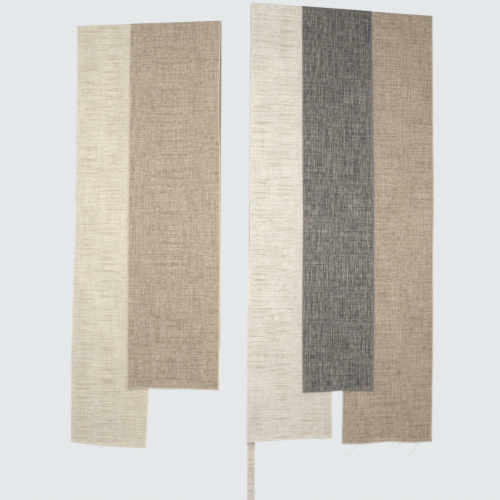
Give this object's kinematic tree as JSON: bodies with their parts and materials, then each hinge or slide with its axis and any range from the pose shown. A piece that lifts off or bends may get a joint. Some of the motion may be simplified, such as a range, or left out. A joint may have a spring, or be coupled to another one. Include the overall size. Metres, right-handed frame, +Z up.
{
  "type": "room curtain panel",
  "caption": "Pair of room curtain panels made of raw-edged linen-look cloth lengths in cream, taupe and gray, folded over the tops of two door leaves.",
  "frame": {"origin": "middle of the underside of the left cream length's saddle, on the top face of the left door leaf", "axes": "+X along the left leaf to the right, seen from the front; +Y from the front to the back; +Z up; the fronts face -Y"},
  "size_m": [1.2171, 0.1666, 1.8032],
  "materials": {
    "cream_cloth": "matt slubby linen-look weave, cream with brown-gray slubs",
    "taupe_cloth": "matt linen-look melange weave, taupe",
    "gray_cloth": "matt linen-look melange weave, charcoal with beige yarns"
  },
  "bodies": {
    "left_cream_fold": {"left_cream_saddle": "cream_cloth", "left_cream_rear_drop": "cream_cloth"},
    "left_cream_front": {"left_cream_front_drop": "cream_cloth"},
    "left_taupe_fold": {"left_taupe_saddle": "taupe_cloth", "left_taupe_rear_drop": "taupe_cloth"},
    "left_taupe_front": {"left_taupe_front_drop": "taupe_cloth"},
    "right_strip_fold": {"right_strip_saddle": "cream_cloth", "right_strip_rear_drop": "cream_cloth"},
    "right_strip_front": {"right_strip_front_drop": "cream_cloth"},
    "right_cream_fold": {"right_cream_saddle": "cream_cloth", "right_cream_rear_drop": "cream_cloth"},
    "right_cream_front": {"right_cream_front_drop": "cream_cloth"},
    "right_taupe_fold": {"right_taupe_saddle": "taupe_cloth", "right_taupe_rear_drop": "taupe_cloth"},
    "right_taupe_front": {"right_taupe_front_drop": "taupe_cloth"},
    "right_gray_fold": {"right_gray_saddle": "gray_cloth", "right_gray_rear_drop": "gray_cloth"},
    "right_gray_front": {"right_gray_front_drop": "gray_cloth"}
  },
  "joints": [
    {"name": "left_cream_swing", "type": "hinge", "parent": "left_cream_fold", "child": "left_cream_front", "pos_m": [0, -0.012, 0.002], "axis": [-1, 0, 0], "range_deg": [0, 60]},
    {"name": "left_taupe_slide", "type": "slide", "parent": "left_cream_fold", "child": "left_taupe_fold", "axis": [1, 0, 0], "range_m": [-0.17, 0.06]},
    {"name": "left_taupe_swing", "type": "hinge", "parent": "left_taupe_fold", "child": "left_taupe_front", "pos_m": [0, -0.012, 0.002], "axis": [-1, 0, 0], "range_deg": [0, 60]},
    {"name": "right_panel_turn", "type": "hinge", "parent": "left_cream_fold", "child": "right_cream_fold", "pos_m": [1.07978, 0.02344, 0], "axis": [0, 0, 1], "range_deg": [-13, 76]},
    {"name": "right_cream_swing", "type": "hinge", "parent": "right_cream_fold", "child": "right_cream_front", "pos_m": [0.76669, -0.06472, 0.0032], "axis": [-0.9728, -0.2317, 0], "range_deg": [0, 60]},
    {"name": "right_strip_slide", "type": "slide", "parent": "right_cream_fold", "child": "right_strip_fold", "axis": [0.9728, 0.2317, 0], "range_m": [0, 0.25]},
    {"name": "right_strip_swing", "type": "hinge", "parent": "right_strip_fold", "child": "right_strip_front", "pos_m": [0.76669, -0.06472, 0.0032], "axis": [-0.9728, -0.2317, 0], "range_deg": [0, 60]},
    {"name": "right_taupe_slide", "type": "slide", "parent": "right_cream_fold", "child": "right_taupe_fold", "axis": [0.9728, 0.2317, 0], "range_m": [-0.01, 0.012]},
    {"name": "right_taupe_swing", "type": "hinge", "parent": "right_taupe_fold", "child": "right_taupe_front", "pos_m": [0.76669, -0.06472, 0.0032], "axis": [-0.9728, -0.2317, 0], "range_deg": [0, 60]},
    {"name": "right_gray_slide", "type": "slide", "parent": "right_cream_fold", "child": "right_gray_fold", "axis": [0.9728, 0.2317, 0], "range_m": [-0.155, 0.2]},
    {"name": "right_gray_swing", "type": "hinge", "parent": "right_gray_fold", "child": "right_gray_front", "pos_m": [0.76669, -0.06472, 0.0032], "axis": [-0.9728, -0.2317, 0], "range_deg": [0, 60]}
  ],
  "couplings": [
    {"joint": "left_taupe_swing", "follows": "left_cream_swing", "ratio": 1},
    {"joint": "right_strip_swing", "follows": "right_cream_swing", "ratio": 1},
    {"joint": "right_taupe_swing", "follows": "right_cream_swing", "ratio": 1},
    {"joint": "right_gray_swing", "follows": "right_cream_swing", "ratio": 1}
  ]
}
